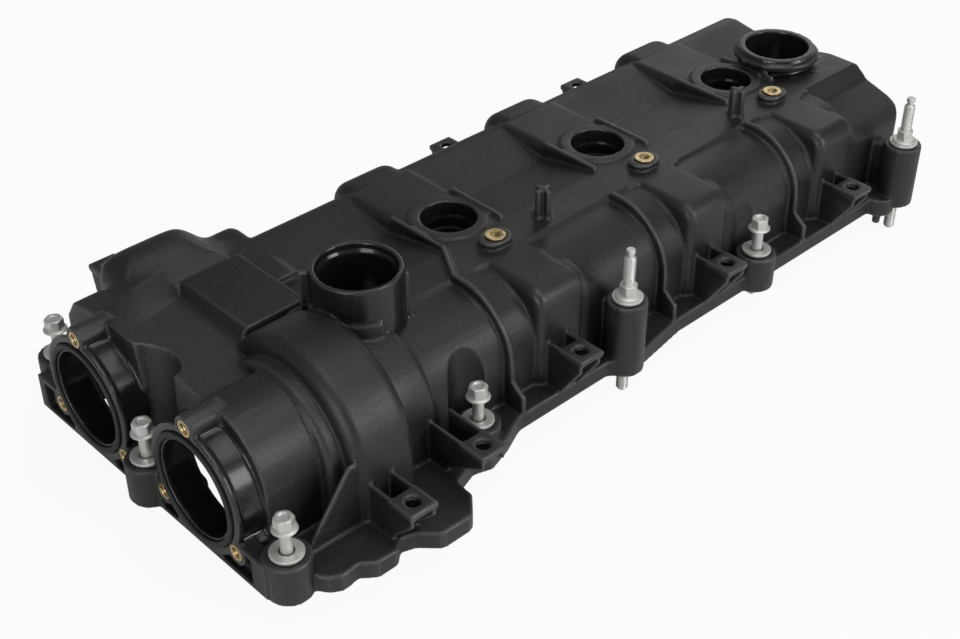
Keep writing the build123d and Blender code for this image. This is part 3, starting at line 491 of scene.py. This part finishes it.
@dataclass
class Casing:
    """The moulded cover: the CAD form with the soft edges and the two surfaces that moulding gives it."""

    voxel_mm: float = 0.75
    soften_steps: int = 5
    full_radius_steps: int = 300
    most_triangles: int = 190_000
    edge_blur_steps: int = 2
    zones: list[PolishedZone] = field(default_factory=lambda: list(POLISHED_ZONES))
    soft_zones: list[SoftZone] = field(default_factory=lambda: list(SOFT_ZONES))

    def build(self) -> bpy.types.Object:
        """Makes the cover.

        Returns:
            The finished piece.
        """
        piece = merged_copy("cover")
        remesh = piece.modifiers.new("soft_edges", "REMESH")
        remesh.mode = "VOXEL"
        remesh.voxel_size = self.voxel_mm * MM
        soften = piece.modifiers.new("moulded_radius", "SMOOTH")
        soften.factor = SMOOTH_FACTOR
        soften.iterations = self.soften_steps
        bake_modifiers(piece)
        self._mark_edges(piece.data)
        self._round_dome(piece)
        thin = piece.modifiers.new("fewer_faces", "DECIMATE")
        thin.use_collapse_triangulate = True
        # The voxel mesh is all quads, and each gives two triangles.
        thin.ratio = self.most_triangles / (2 * len(piece.data.polygons))
        bake_modifiers(piece)
        piece.data.shade_smooth()
        self._dress(piece.data)
        return piece

    def _round_dome(self, piece: bpy.types.Object) -> None:
        """Gives the far dome the fuller radii that the real one has.

        Args:
            piece: the softened cover.
        """
        places = from_first_well(vectors(piece.data.vertices, "co"))
        group = piece.vertex_groups.new(name="full_radius")
        weights = np.max([zone.weights(places) for zone in self.soft_zones], axis=0)
        for index in np.flatnonzero(weights):
            group.add([int(index)], float(weights[index]), "REPLACE")
        rounding = piece.modifiers.new("full_radius", "SMOOTH")
        rounding.factor = SMOOTH_FACTOR
        rounding.iterations = self.full_radius_steps
        rounding.vertex_group = group.name
        bake_modifiers(piece)
        piece.vertex_groups.clear()

    def _mark_edges(self, mesh: bpy.types.Mesh) -> None:
        """Stores how far each point stands out from its neighbours, for the polish and the painted highlight
        on the outer edges.

        Args:
            mesh: the softened mesh.
        """
        count = len(mesh.vertices)
        points = vectors(mesh.vertices, "co")
        normals = vectors(mesh.vertices, "normal")
        ends = np.empty(len(mesh.edges) * 2, dtype=np.int64)
        mesh.edges.foreach_get("vertices", ends)
        first, second = ends.reshape(-1, 2).T
        degree = np.bincount(ends, minlength=count).clip(1)
        middle = np.stack([self._gather(points[:, i], first, second, count) for i in range(3)], axis=1)
        middle /= degree[:, None]
        proud = np.einsum("ij,ij->i", points - middle, normals) / (self.voxel_mm * MM)
        for _ in range(self.edge_blur_steps):
            proud = 0.5 * proud + 0.5 * self._gather(proud, first, second, count) / degree
        edge = ((proud - EDGE_START) / EDGE_SPAN).clip(0.0, 1.0)
        layer = mesh.attributes.new(EDGE_ATTRIBUTE, "FLOAT", "POINT")
        layer.data.foreach_set("value", edge.astype(np.float32))

    @staticmethod
    def _gather(values: np.ndarray, first: np.ndarray, second: np.ndarray, count: int) -> np.ndarray:
        """The sum of each point's neighbours.

        Args:
            values: one value for each point.
            first: each edge's one end.
            second: each edge's other end.
            count: the number of points.

        Returns:
            One sum for each point.
        """
        out = np.bincount(first, weights=values[second], minlength=count)
        return out + np.bincount(second, weights=values[first], minlength=count)

    def _dress(self, mesh: bpy.types.Mesh) -> None:
        """Gives each face the grained or the polished nylon.

        Args:
            mesh: the finished mesh.
        """
        dress(mesh, GRAINED_NYLON.build(), POLISHED_NYLON.build())
        places = from_first_well(vectors(mesh.polygons, "center"))
        polished = np.zeros(len(places), dtype=bool)
        for zone in self.zones:
            polished |= zone.holds(places)
        mesh.polygons.foreach_set("material_index", polished.astype(np.int32))


SMOOTH_FACTOR = 0.5
EDGE_START = 0.015  # how far a point stands out where the polish and the painted edge highlight begin, in voxels
EDGE_SPAN = 0.10  # and how much further where it is full

AXIS_Z = 30.5  # height of the cam tunnels' axes
PORT_Y = (-46.4, 36.0)
WELL_X = (0.0, 106.0, 212.0)
# The mouths of both ports, the plug wells, the filler neck and the oil cap's port.
POLISHED_ZONES = (
    *(PolishedZone(Run.ALONG_CAMS, (y, AXIS_Z), (0.0, 31.2), (-190.0, -170.0)) for y in PORT_Y),
    *(PolishedZone(Run.UPRIGHT, (x, 0.0), (0.0, 14.6), (20.0, 62.4)) for x in WELL_X),
    PolishedZone(Run.UPRIGHT, (-84.0, -33.0), (0.0, 21.6), (40.0, 90.0)),
    PolishedZone(Run.UPRIGHT, (253.0, -3.2), (0.0, 25.4), (40.0, 72.0)),
)
# The far dome.
SOFT_ZONES = (SoftZone((-158.0, 50.0, 16.0), (-86.0, 83.5, 80.0), 5.0),)


@dataclass
class TurnedPart:
    """A CAD piece that keeps its form, with its edges broken and a finish of its own."""

    node: str
    slot: str
    material: bpy.types.Material
    edge_mm: float = 0.2
    body: str = "cover"
    flat_deg: float = 1.0
    bevel_deg: float = 35.0
    bevel_segments: int = 2
    sharp_deg: float = 28.0

    def build(self) -> bpy.types.Object:
        """Makes the piece.

        Returns:
            The finished piece.
        """
        piece = merged_copy(self.node)
        shape = bmesh.new()
        shape.from_mesh(piece.data)
        bmesh.ops.dissolve_limit(
            shape, angle_limit=math.radians(self.flat_deg), verts=shape.verts, edges=shape.edges
        )
        shape.to_mesh(piece.data)
        shape.free()
        edge = piece.modifiers.new("broken_edge", "BEVEL")
        edge.width = self.edge_mm * MM
        edge.segments = self.bevel_segments
        edge.limit_method = "ANGLE"
        edge.angle_limit = math.radians(self.bevel_deg)
        edge.use_clamp_overlap = True
        bake_modifiers(piece)
        shade(piece, self.sharp_deg)
        dress(piece.data, self.material)
        settle(piece, self.body, self.slot, self.node)
        return piece


class ThreadTree:
    """The node tree that winds a screw thread, shared by all fasteners and inserts."""

    INPUTS = ("Root Radius", "Pitch", "Length", "Depth")

    def __init__(self, material: bpy.types.Material) -> None:
        """Builds the tree.

        Args:
            material: the thread's finish.
        """
        self.tree = bpy.data.node_groups.new("screw_thread", "GeometryNodeTree")
        face = self.tree.interface
        face.new_socket("Geometry", in_out="OUTPUT", socket_type="NodeSocketGeometry")
        self.ids = {
            name: face.new_socket(name, in_out="INPUT", socket_type="NodeSocketFloat").identifier
            for name in self.INPUTS
        }
        given = add_node(self.tree, "NodeGroupInput").outputs
        turns = add_node(
            self.tree, "ShaderNodeMath", {0: given["Length"], 1: given["Pitch"]}, operation="DIVIDE"
        )
        spiral = add_node(
            self.tree,
            "GeometryNodeCurveSpiral",
            {
                "Resolution": THREAD_STEPS,
                "Rotations": turns.outputs[0],
                "Start Radius": given["Root Radius"],
                "End Radius": given["Root Radius"],
                "Height": given["Length"],
            },
        )
        upright = add_node(
            self.tree, "GeometryNodeSetCurveNormal", {"Curve": spiral.outputs[0]}, mode="Z_UP"
        )
        ridge = add_node(
            self.tree,
            "GeometryNodeCurvePrimitiveCircle",
            {"Resolution": RIDGE_CORNERS, "Radius": given["Depth"]},
        )
        swept = add_node(
            self.tree,
            "GeometryNodeCurveToMesh",
            {"Curve": upright.outputs[0], "Profile Curve": ridge.outputs[0], "Fill Caps": True},
        )
        real = add_node(self.tree, "GeometryNodeRealizeInstances", {0: swept.outputs[0]})
        dressed = add_node(self.tree, "GeometryNodeSetMaterial", {0: real.outputs[0], "Material": material})
        add_node(self.tree, "NodeGroupOutput", {0: dressed.outputs[0]})

    def wind(self, root_mm: float, pitch_mm: float, length_mm: float, depth_mm: float) -> bpy.types.Mesh:
        """Makes one thread standing on Z from 0.

        Args:
            root_mm: the radius that the ridge is centred on.
            pitch_mm: the rise of one turn.
            length_mm: the height of the thread.
            depth_mm: how far the ridge stands out.

        Returns:
            The thread as a plain mesh.
        """
        holder = new_piece("thread_holder", bpy.data.meshes.new("thread_holder"))
        winding = holder.modifiers.new("thread", "NODES")
        winding.node_group = self.tree
        for name, value in zip(self.INPUTS, (root_mm, pitch_mm, length_mm, depth_mm)):
            winding[self.ids[name]] = value * MM
        mesh = evaluated_mesh(holder)
        bpy.data.objects.remove(holder)
        return mesh


THREAD_STEPS = 24  # points in one turn
RIDGE_CORNERS = 4


@dataclass(frozen=True)
class Ring:
    """One ring of a turned profile, in millimetres."""

    z: float
    r: float
    hexed: bool = False


def hex_reach(angle: float, across_mm: float) -> float:
    """How far a hexagon reaches at an angle.

    Args:
        angle: in radians.
        across_mm: its size across the flats.

    Returns:
        The distance from its centre, in millimetres.
    """
    sector = math.radians(60)
    return across_mm / 2 / math.cos((angle + sector / 2) % sector - sector / 2)


def turn(rings: list[Ring], across_mm: float, steps: int) -> bmesh.types.BMesh:
    """Turns a profile about Z, with a hexagon where a ring says so.

    Args:
        rings: the profile from the bottom up, closed at both ends.
        across_mm: the hexagon's size across the flats.
        steps: the number of points round.

    Returns:
        The closed shape.
    """
    shape = bmesh.new()
    rows = []
    for ring in rings:
        row = []
        for i in range(steps):
            angle = 2 * math.pi * i / steps
            reach = min(ring.r, hex_reach(angle, across_mm)) if ring.hexed else ring.r
            place = (reach * MM * math.cos(angle), reach * MM * math.sin(angle), ring.z * MM)
            row.append(shape.verts.new(place))
        rows.append(row)
    for low, high in zip(rows, rows[1:]):
        for i in range(steps):
            j = (i + 1) % steps
            shape.faces.new((low[i], low[j], high[j], high[i]))
    shape.faces.new(list(reversed(rows[0])))
    shape.faces.new(rows[-1])
    bmesh.ops.recalc_face_normals(shape, faces=shape.faces)
    return shape


SEAT_GAP = 0.04  # millimetres between a flange and its washer, so that seated faces don't cross
RUN_OUT = 0.8  # length of the cone at a thread's end
THREAD_START = 1.0  # how far above a tip the ridge begins
THREAD_SHORT = 1.2  # how much shorter the ridge is than its stretch
HEX_CORNER_DEG = 30.0
HEX_FOOT_CUT = 0.05
# How far below a head's top, and how far inside its corners, each ring of its broken edge lies.
HEX_TOP_RINGS = ((0.75, 0.02), (0.35, 0.35), (0.08, 0.85), (0.0, 1.1))


@dataclass
class Fastener:
    """What a captive bolt and a stud have in common."""

    node: str
    threads: ThreadTree
    material: bpy.types.Material
    crest_r: float = 3.0
    shank_r: float = 2.7
    root_r: float = 2.5
    crest_gap: float = 0.04
    pitch: float = 1.0
    hex_across: float = 8.0
    hex_h: float = 5.2
    steps: int = 48
    sharp_deg: float = 32.0

    def seat(self) -> Vector:
        """The middle of the face under the head, in metres."""
        raise NotImplementedError

    def rings(self) -> list[Ring]:
        """The turned profile, with Z measured from the seat."""
        raise NotImplementedError

    def windings(self) -> list[tuple[float, float]]:
        """The foot and the length of each thread, with Z measured from the seat."""
        raise NotImplementedError

    def hex_rings(self, foot: float) -> list[Ring]:
        """The rings of a hexagonal head with a broken top edge.

        Args:
            foot: the height of its foot.

        Returns:
            Its rings, from the bottom up.
        """
        corner = self.hex_across / 2 / math.cos(math.radians(HEX_CORNER_DEG))
        top = foot + self.hex_h
        edge = [Ring(top - drop, corner - cut, True) for drop, cut in HEX_TOP_RINGS]
        return [Ring(foot, corner - HEX_FOOT_CUT, True), *edge]

    def build(self) -> bpy.types.Object:
        """Makes the fastener with its threads.

        Returns:
            The finished piece.
        """
        shape = turn(self.rings(), self.hex_across, self.steps)
        mesh = bpy.data.meshes.new(self.node)
        shape.to_mesh(mesh)
        shape.free()
        piece = new_piece(f"{self.node}_dressed", mesh)
        piece.data.transform(Matrix.Translation(self.seat()))
        depth = self.crest_r - self.root_r - self.crest_gap
        parts = [piece]
        for foot, length in self.windings():
            wound = self.threads.wind(self.root_r, self.pitch, length, depth)
            thread = new_piece(f"{self.node}_thread", wound)
            thread.data.transform(Matrix.Translation(self.seat() + Vector((0, 0, foot * MM))))
            parts.append(thread)
        join(parts)
        shade(piece, self.sharp_deg)
        dress(piece.data, self.material)
        settle(piece, self.node, "steel", self.node)
        return piece


def join(parts: list[bpy.types.Object]) -> None:
    """Joins meshes into the first one.

    Args:
        parts: the objects, of which only the first is left.
    """
    shape = bmesh.new()
    for part in parts:
        shape.from_mesh(part.data)
    shape.to_mesh(parts[0].data)
    shape.free()
    for part in parts[1:]:
        bpy.data.objects.remove(part)


@dataclass
class CaptiveBolt(Fastener):
    """A hex flange bolt that stands up in its sleeve."""

    length: float = 40.0
    thread_l: float = 18.0
    flange_r: float = 5.7
    flange_t: float = 1.3
    # The height of each ring of the flange, and how far it lies inside the flange's radius.
    flange_steps: tuple[tuple[float, float], ...] = ((SEAT_GAP, 0.2), (0.25, 0.0), (0.6, 0.05), (0.85, 0.35))
    hex_foot_r: float = 4.75
    tip_r: float = 1.7
    dish_r: float = 2.7
    dish_d: float = 0.7

    def seat(self) -> Vector:
        """The middle of the face under the head, in metres."""
        low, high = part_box(self.node)
        return Vector(((low[0] + high[0]) / 2, (low[1] + high[1]) / 2, low[2] + self.length * MM))

    def rings(self) -> list[Ring]:
        """The turned profile, from the tip to the dish in the head."""
        tip = -self.length
        top = self.flange_t + self.hex_h
        return [
            Ring(tip, self.tip_r),
            Ring(tip + RUN_OUT, self.root_r),
            Ring(tip + self.thread_l, self.root_r),
            Ring(tip + self.thread_l + RUN_OUT, self.shank_r),
            Ring(-0.35, self.shank_r),
            Ring(SEAT_GAP, self.shank_r + 0.3),
            *(Ring(z, self.flange_r - cut) for z, cut in self.flange_steps),
            Ring(self.flange_t, self.hex_foot_r),
            *self.hex_rings(self.flange_t),
            Ring(top, self.dish_r),
            Ring(top - 0.15, self.dish_r - 0.2),
            Ring(top - self.dish_d, self.dish_r - 0.75),
            Ring(top - self.dish_d, 0.3),
        ]

    def windings(self) -> list[tuple[float, float]]:
        """The thread above the bolt's tip."""
        return [(-self.length + THREAD_START, self.thread_l - THREAD_SHORT)]


@dataclass
class DoubleStud(Fastener):
    """A stud with threads at both ends, a hex and flange between them, and a button tip."""

    seat_z: float = 41.9
    tip_z: float = -14.0
    top_z: float = 68.0
    flange_r: float = 6.6
    flange_t: float = 1.5
    flange_steps: tuple[tuple[float, float], ...] = ((SEAT_GAP, 0.2), (0.25, 0.0), (0.7, 0.05), (0.95, 0.4))
    hex_foot_r: float = 4.8
    tip_r: float = 1.9
    lower_thread: float = 20.0
    button_r: float = 2.25
    neck_r: float = 1.7
    point_l: float = 4.2

    def seat(self) -> Vector:
        """The middle of the face under the flange, in metres."""
        low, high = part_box(self.node)
        rise = (self.seat_z - self.tip_z) * MM
        return Vector(((low[0] + high[0]) / 2, (low[1] + high[1]) / 2, low[2] + rise))

    def rings(self) -> list[Ring]:
        """The turned profile, from the lower tip to the button."""
        tip = self.tip_z - self.seat_z
        top = self.top_z - self.seat_z
        neck = top - self.point_l
        head = self.flange_t + self.hex_h
        return [
            Ring(tip, self.tip_r),
            Ring(tip + RUN_OUT, self.root_r),
            Ring(tip + self.lower_thread, self.root_r),
            Ring(tip + self.lower_thread + RUN_OUT, self.shank_r),
            Ring(SEAT_GAP, self.shank_r),
            *(Ring(z, self.flange_r - cut) for z, cut in self.flange_steps),
            Ring(self.flange_t, self.hex_foot_r),
            *self.hex_rings(self.flange_t),
            Ring(head, self.crest_r),
            Ring(head + 0.9, self.crest_r - 0.15),
            Ring(head + 1.2, self.root_r),
            Ring(neck - 0.9, self.root_r),
            Ring(neck - 0.7, self.crest_r - 0.1),
            Ring(neck, self.button_r + 0.1),
            Ring(neck + 0.5, self.neck_r),
            Ring(neck + 1.7, self.neck_r),
            Ring(neck + 2.2, self.button_r),
            Ring(top - 0.35, self.button_r),
            Ring(top, self.button_r - 0.35),
        ]

    def windings(self) -> list[tuple[float, float]]:
        """The threads below the boss and above the hex."""
        tip = self.tip_z - self.seat_z
        foot = self.flange_t + self.hex_h + 1.5
        end = self.top_z - self.seat_z - self.point_l - 0.9
        return [(tip + THREAD_START, self.lower_thread - THREAD_SHORT), (foot, end - foot)]


@dataclass
class InsertThreads:
    """The threads cut inside the brass inserts."""

    threads: ThreadTree
    material: bpy.types.Material
    bore_r: float = 2.62
    pitch: float = 1.0
    depth: float = 0.32
    length: float = 8.2
    inset: float = 0.5
    sharp_deg: float = 40.0

    def build(self) -> bpy.types.Object:
        """Makes all the inner threads as one piece.

        Returns:
            The finished piece.
        """
        parts = []
        for centre, axis in self._places():
            wound = self.threads.wind(self.bore_r, self.pitch, self.length, self.depth)
            part = new_piece("insert_threads", wound)
            turned = axis.to_track_quat("Z", "Y").to_matrix().to_4x4()
            part.data.transform(Matrix.Translation(centre + axis * self.inset * MM) @ turned)
            parts.append(part)
        join(parts)
        piece = parts[0]
        shade(piece, self.sharp_deg)
        dress(piece.data, self.material)
        settle(piece, "cover", "brass")
        return piece

    @staticmethod
    def _places() -> list[tuple[Vector, Vector]]:
        """Each insert's mouth, and the direction into it."""
        out = []
        for mount in frame["record"]["mounts"]:
            if mount["kind"] == "threaded_hole":
                axis = Vector(mount["axis"])
                half = mount["dims"]["length_mm"] / 2 * MM
                out.append((Vector(mount["pos_m"]) + axis * half, -axis))
        return out


@dataclass(frozen=True)
class Softbox:
    """One large square lamp, aimed at the cover."""

    name: str
    place: tuple[float, float, float]
    size: float
    power: float

    def build(self, target: Vector) -> None:
        """Adds the lamp.

        Args:
            target: what it points at.
        """
        lamp = bpy.data.lights.new(self.name, "AREA")
        lamp.shape = "SQUARE"
        lamp.size = self.size
        lamp.energy = self.power
        holder = bpy.data.objects.new(self.name, lamp)
        holder.location = self.place
        holder.rotation_euler = (target - Vector(self.place)).to_track_quat("-Z", "Y").to_euler()
        bpy.context.scene.collection.objects.link(holder)


@dataclass
class Studio:
    """The plain pale set: floor, lamps, surroundings and camera."""

    camera_mm: tuple[float, float, float] = (-425.05, -469.41, 459.09)
    yaw_deg: float = 46.457
    pitch_deg: float = 35.954
    lens_mm: float = 57.517
    sensor_mm: float = 36.0
    clip_end: float = 20.0
    target: tuple[float, float, float] = (0.0, 0.0, 0.04)
    floor_colour: str = "#f4f4f4"
    floor_size: float = 6.0
    white_share: float = 0.93
    sky: float = 0.2
    lamps: list[Softbox] = field(
        default_factory=lambda: [
            Softbox("back_softbox", (1.7, 0.9, 0.9), 1.3, 4.0),
            Softbox("top_softbox", (0.1, -0.4, 1.6), 1.2, 8.0),
            Softbox("left_softbox", (-1.5, -0.6, 0.5), 0.8, 7.0),
            Softbox("right_softbox", (0.6, -1.6, 0.8), 0.8, 12.0),
        ]
    )

    def build(self) -> None:
        """Makes the set."""
        self._floor()
        self._sky()
        for lamp in self.lamps:
            lamp.build(Vector(self.target))
        self._camera()

    @staticmethod
    def _white_to_camera(tree: bpy.types.NodeTree) -> bpy.types.NodeSocket:
        """Tells the rays that should see plain white from those that light the cover.

        Args:
            tree: the tree of the floor or of the surroundings.

        Returns:
            1 for a ray that comes from the camera, straight or through glass, and 0 for any other.
        """
        path = add_node(tree, "ShaderNodeLightPath")
        seen = add_node(
            tree,
            "ShaderNodeMath",
            {0: path.outputs["Is Camera Ray"], 1: path.outputs["Is Transmission Ray"]},
            operation="MAXIMUM",
        )
        return seen.outputs[0]

    def _floor(self) -> None:
        """Adds the floor, which stays pale under the cover's own shadow."""
        half = self.floor_size / 2
        mesh = bpy.data.meshes.new("floor")
        corners = [(-half, -half, 0), (half, -half, 0), (half, half, 0), (-half, half, 0)]
        mesh.from_pydata(corners, [], [(0, 1, 2, 3)])
        floor = new_piece("floor", mesh)
        material = bpy.data.materials.new("pale_floor")
        material.use_nodes = True
        tree = material.node_tree
        tree.nodes.clear()
        matt = add_node(tree, "ShaderNodeBsdfDiffuse", {"Color": linear(self.floor_colour)})
        glow = add_node(tree, "ShaderNodeEmission", {"Color": (1, 1, 1, 1), "Strength": 1.0})
        seen = self._white_to_camera(tree)
        share = add_node(tree, "ShaderNodeMath", {0: seen, 1: self.white_share}, operation="MULTIPLY")
        both = add_node(
            tree, "ShaderNodeMixShader", {0: share.outputs[0], 1: matt.outputs[0], 2: glow.outputs[0]}
        )
        add_node(tree, "ShaderNodeOutputMaterial", {"Surface": both.outputs[0]})
        mesh.materials.append(material)

    def _sky(self) -> None:
        """Sets plain pale surroundings that look white and light the cover gently."""
        world = bpy.data.worlds.new("studio")
        bpy.context.scene.world = world
        world.use_nodes = True
        tree = world.node_tree
        tree.nodes.clear()
        dim = add_node(tree, "ShaderNodeBackground", {"Color": (1, 1, 1, 1), "Strength": self.sky})
        white = add_node(tree, "ShaderNodeBackground", {"Color": (1, 1, 1, 1), "Strength": 1.0})
        seen = self._white_to_camera(tree)
        both = add_node(tree, "ShaderNodeMixShader", {0: seen, 1: dim.outputs[0], 2: white.outputs[0]})
        add_node(tree, "ShaderNodeOutputWorld", {"Surface": both.outputs[0]})

    def _camera(self) -> None:
        """Sets the camera where the photograph was taken from."""
        yaw = math.radians(self.yaw_deg)
        pitch = math.radians(self.pitch_deg)
        forward = Vector((math.cos(yaw) * math.cos(pitch), math.sin(yaw) * math.cos(pitch), -math.sin(pitch)))
        right = Vector((math.sin(yaw), -math.cos(yaw), 0.0))
        up = right.cross(forward)
        lens = bpy.data.cameras.new("camera")
        lens.lens = self.lens_mm
        lens.sensor_width = self.sensor_mm
        lens.sensor_fit = "HORIZONTAL"
        lens.clip_end = self.clip_end
        camera = bpy.data.objects.new("camera", lens)
        turned = Matrix((right, up, -forward)).transposed().to_4x4()
        camera.matrix_world = Matrix.Translation(at(*self.camera_mm)) @ turned
        bpy.context.scene.collection.objects.link(camera)
        bpy.context.scene.camera = camera


BOLTS = ("front_near", "front_middle", "front_far", "side_front", "side_back", "far_front", "far_back")
STUDS = ("front", "back")


def small_parts() -> None:
    """Dresses the seals, rings, inserts, sleeves, grommets, gasket and baffle."""
    rubber = NITRILE_RUBBER.build()
    brass = TURNED_BRASS.build()
    washer = COATED_WASHER.build()
    nylon = POLISHED_NYLON.build()
    parts = [
        TurnedPart("gasket", "rubber", rubber, 0.8),
        TurnedPart("baffle", "moulding", nylon, 0.4),
        TurnedPart("baffle_screws", "steel", washer, 0.3),
        TurnedPart("near_port_seal", "rubber", rubber, 0.1),
        TurnedPart("far_port_seal", "rubber", rubber, 0.1),
        TurnedPart("port_inserts", "brass", brass, 0.25),
        TurnedPart("coil_inserts", "brass", brass, 0.25),
    ]
    for number in range(1, len(WELL_X) + 1):
        parts.append(TurnedPart(f"well_seal_{number}", "rubber", rubber, 0.6))
        parts.append(TurnedPart(f"well_ring_{number}", "steel", washer, 0.3))
    for name in [f"{bolt}_bolt" for bolt in BOLTS] + [f"{stud}_stud" for stud in STUDS]:
        parts.append(TurnedPart(f"{name}_sleeve", "steel", washer, 0.25))
        parts.append(TurnedPart(f"{name}_grommet", "rubber", rubber, 0.25))
    for part in parts:
        part.build()


def main() -> None:
    """Builds the set, the cover and everything that it carries."""
    logging.basicConfig(level=logging.INFO, format="%(message)s")
    bpy.context.scene.view_settings.view_transform = "Standard"
    Studio().build()
    cover = Casing().build()
    settle(cover, "cover", "moulding", "cover")
    small_parts()
    steel = ZINC_FLAKE_STEEL.build()
    steel_threads = ThreadTree(steel)
    for name in BOLTS:
        CaptiveBolt(f"{name}_bolt", steel_threads, steel).build()
    for name in STUDS:
        DoubleStud(f"{name}_stud", steel_threads, steel).build()
    brass = TURNED_BRASS.build()
    InsertThreads(ThreadTree(brass), brass).build()


if __name__ == "__main__":
    main()
